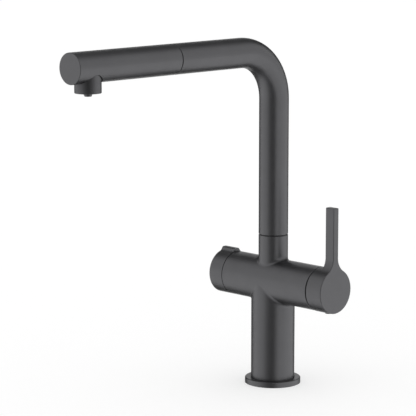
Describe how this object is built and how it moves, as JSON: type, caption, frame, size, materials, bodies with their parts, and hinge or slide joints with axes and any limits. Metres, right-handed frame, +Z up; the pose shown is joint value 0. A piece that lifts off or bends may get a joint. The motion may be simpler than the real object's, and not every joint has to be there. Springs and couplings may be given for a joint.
{
  "type": "kitchen mixer tap",
  "caption": "Kitchen mixer tap with a straight column, cross body, side lever, filter-water knob and L spout with a pull-out spray head, in matte anthracite.",
  "frame": {"origin": "where the column's axis meets the deck, midway between the fixing holes in the base", "axes": "+Z up, -Y towards the outlet, +X towards the lever"},
  "size_m": [0.1377, 0.2626, 0.314],
  "materials": {
    "anthracite_metal": "matte anthracite coating on brass",
    "anthracite_plastic": "moulded, satin metallic lacquer a shade darker than the metal",
    "brass": "machined, unplated",
    "steel": "machined stainless steel",
    "ceramic": "lapped alumina ceramic",
    "rubber": "moulded rubber",
    "black_plastic": "moulded acetal, fine satin",
    "white_plastic": "moulded acetal",
    "braided_hose": "nylon braid over a rubber liner"
  },
  "bodies": {
    "tap": {"tap_body": "anthracite_metal", "base_flange": "anthracite_metal", "base_seal": "rubber", "base_insert": "brass", "hose_guide": "black_plastic", "hot_supply_tube": "brass", "mixed_return_tube": "brass", "cold_supply_tube": "brass", "filter_supply_tube": "brass", "filter_return_tube": "brass", "cartridge_seal": "rubber", "cartridge_base": "white_plastic", "cartridge_fixed_disc": "ceramic", "cartridge_housing": "white_plastic", "cartridge_nut": "brass", "dome_cover": "anthracite_metal", "filter_valve_seal": "rubber", "filter_valve_body": "brass", "filter_fixed_disc": "ceramic", "filter_gland_nut": "brass", "swivel_slip_ring": "black_plastic", "swivel_stop_screw": "steel"},
    "spout": {"spout_tube": "anthracite_metal", "spout_journal": "brass", "journal_o_rings": "rubber", "docking_bush": "black_plastic", "pull_hose_riser": "braided_hose", "pull_hose_run": "braided_hose"},
    "spray_head": {"head_shell": "anthracite_metal", "outlet_collar": "anthracite_plastic", "docking_nose": "black_plastic", "nose_o_ring": "rubber", "check_valve": "white_plastic", "hose_nut": "brass", "outlet_block": "black_plastic", "waterway_tube": "white_plastic", "filter_tube": "white_plastic", "filter_nozzle": "anthracite_metal", "aerator_housing": "black_plastic", "aerator_screen": "white_plastic"},
    "mix_carrier": {"cartridge_carrier": "white_plastic", "cartridge_pin": "steel"},
    "mix_disc": {"cartridge_moving_disc": "ceramic", "cartridge_driver": "white_plastic"},
    "mix_lever": {"mixer_lever": "anthracite_metal", "lever_stem": "steel", "lever_grub_screw": "steel", "lever_screw_plug": "black_plastic"},
    "filter_handle": {"filter_knob": "anthracite_metal", "filter_spindle": "brass", "filter_moving_disc": "ceramic", "knob_grub_screw": "steel"}
  },
  "joints": [
    {"name": "spout_swivel", "type": "hinge", "parent": "tap", "child": "spout", "pos_m": [0, 0, 0.1359], "axis": [0, 0, 1], "range_deg": [-70, 70]},
    {"name": "head_pull", "type": "slide", "parent": "spout", "child": "spray_head", "axis": [0, -1, 0], "range_m": [0, 0.45], "stiffness_N_per_m": 8, "springref_m": -0.5, "deforming": ["pull_hose_run"]},
    {"name": "lever_temperature", "type": "hinge", "parent": "tap", "child": "mix_carrier", "pos_m": [0.0454, 0, 0.0942], "axis": [1, 0, 0], "range_deg": [-45, 45]},
    {"name": "lever_flow", "type": "hinge", "parent": "mix_carrier", "child": "mix_lever", "pos_m": [0.0454, 0, 0.0942], "axis": [0, 1, 0], "range_deg": [0, 20]},
    {"name": "disc_slide", "type": "slide", "parent": "mix_carrier", "child": "mix_disc", "axis": [0, 0, 1], "range_m": [0, 0.0043]},
    {"name": "filter_turn", "type": "hinge", "parent": "tap", "child": "filter_handle", "pos_m": [-0.05, 0, 0.0942], "axis": [1, 0, 0], "range_deg": [0, 90]}
  ],
  "couplings": [
    {"joint": "disc_slide", "follows": "lever_flow", "m_per_rad": 0.011954}
  ]
}
